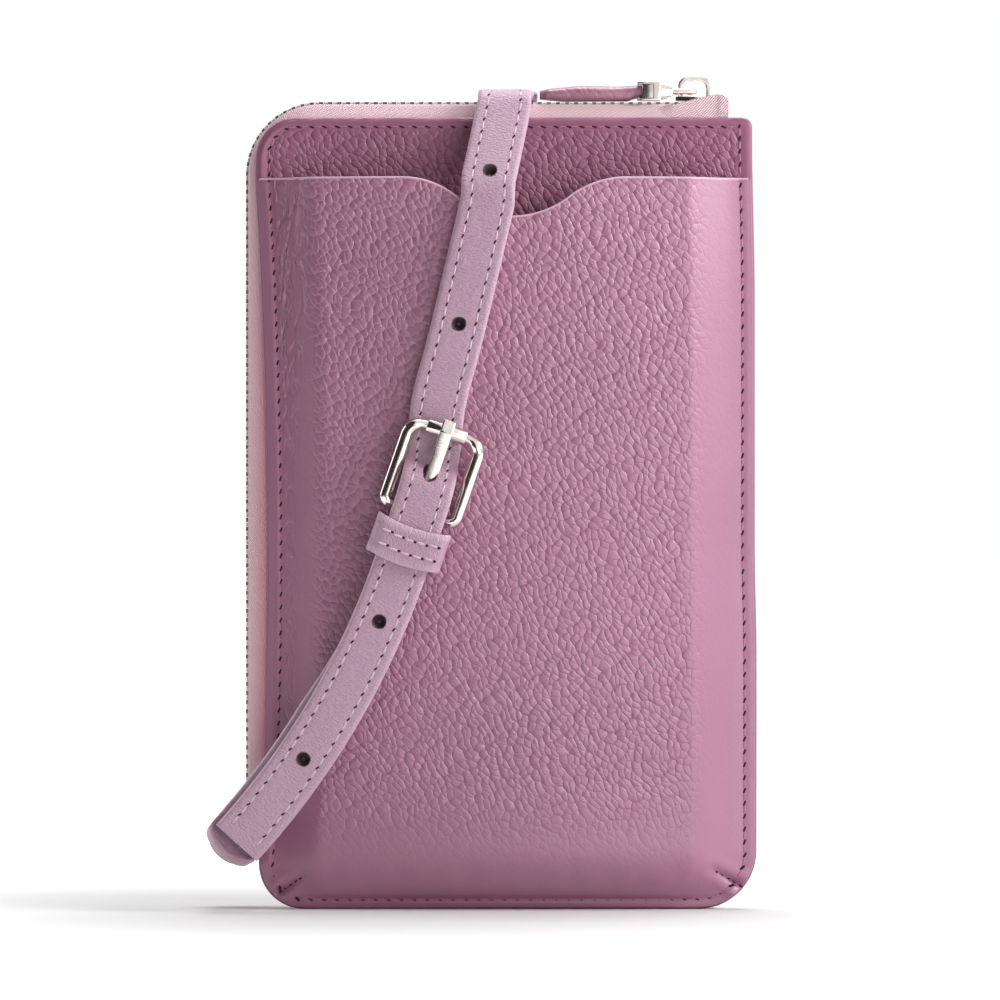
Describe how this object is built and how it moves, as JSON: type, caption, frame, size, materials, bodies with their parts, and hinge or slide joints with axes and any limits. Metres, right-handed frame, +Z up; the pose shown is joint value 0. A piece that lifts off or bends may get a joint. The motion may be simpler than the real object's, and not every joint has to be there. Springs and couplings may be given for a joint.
{
  "type": "phone pouch",
  "caption": "Slim zipped leather phone pouch with an open front phone pocket, a metal zip round two sides and a buckled shoulder strap folded behind it.",
  "frame": {"origin": "middle of the front panel's lower edge, on the surface the pouch stands on", "axes": "+Z up along the panel, -Y out of the front, +X to the right seen from the front"},
  "size_m": [0.1272, 0.0498, 0.1914],
  "materials": {
    "pebbled_leather": "pebbled, satin",
    "strap_leather": "fine grain, satin",
    "lining_cloth": "plain woven",
    "zip_cloth": "ribbed tape",
    "zip_metal": "dark nickel",
    "nickel": "polished pale nickel"
  },
  "bodies": {
    "pouch": {"front_panel": "pebbled_leather", "front_pocket": "pebbled_leather", "back_panel": "pebbled_leather", "strap_long": "strap_leather", "strap_short": "strap_leather", "lining_front": "lining_cloth", "lining_back": "lining_cloth", "zip_tape_front": "zip_cloth", "zip_tape_back": "zip_cloth", "zip_teeth_front": "zip_metal", "zip_teeth_back": "zip_metal", "zip_top_stops": "zip_metal", "zip_bottom_stop": "zip_metal", "strap_rivets": "nickel", "rivet_washers": "nickel"},
    "zip_slider": {"zip_slider": "nickel"},
    "pull_link": {"pull_link": "nickel"},
    "pull_tab": {"pull_clip": "nickel", "pull_tab": "strap_leather"},
    "buckle": {"buckle_frame": "nickel"},
    "buckle_prong": {"buckle_prong": "nickel"},
    "buckle_roller": {"buckle_roller": "nickel"},
    "strap_keeper": {"strap_keeper": "strap_leather"}
  },
  "joints": [
    {"name": "zip_slide", "type": "slide", "parent": "pouch", "child": "zip_slider", "axis": [-1, 0, 0], "range_m": [0, 0.08], "deforming": ["strap_long", "zip_teeth_front", "zip_teeth_back"]},
    {"name": "link_swing", "type": "hinge", "parent": "zip_slider", "child": "pull_link", "pos_m": [0.04265, 0.00515, 0.18795], "axis": [0, 1, 0], "range_deg": [0, 150]},
    {"name": "tab_swing", "type": "hinge", "parent": "pull_link", "child": "pull_tab", "pos_m": [0.03665, 0.00515, 0.18795], "axis": [0, 1, 0], "range_deg": [0, 30]},
    {"name": "buckle_lift", "type": "hinge", "parent": "pouch", "child": "buckle", "pos_m": [-0.0206, -0.01345, 0.09111], "axis": [0.9455, 0, -0.3256], "range_deg": [0, 20], "deforming": ["strap_long"]},
    {"name": "prong_lift", "type": "hinge", "parent": "buckle", "child": "buckle_prong", "pos_m": [-0.0206, -0.01345, 0.09111], "axis": [0.9455, 0, -0.3256], "range_deg": [0, 12], "deforming": ["strap_long"]},
    {"name": "roller_spin", "type": "hinge", "parent": "buckle", "child": "buckle_roller", "pos_m": [-0.01431, -0.0153, 0.10937], "axis": [0.9455, 0, -0.3256], "continuous": true},
    {"name": "keeper_slide", "type": "slide", "parent": "pouch", "child": "strap_keeper", "axis": [-0.342, 0, -0.9397], "range_m": [0, 0.022]}
  ]
}
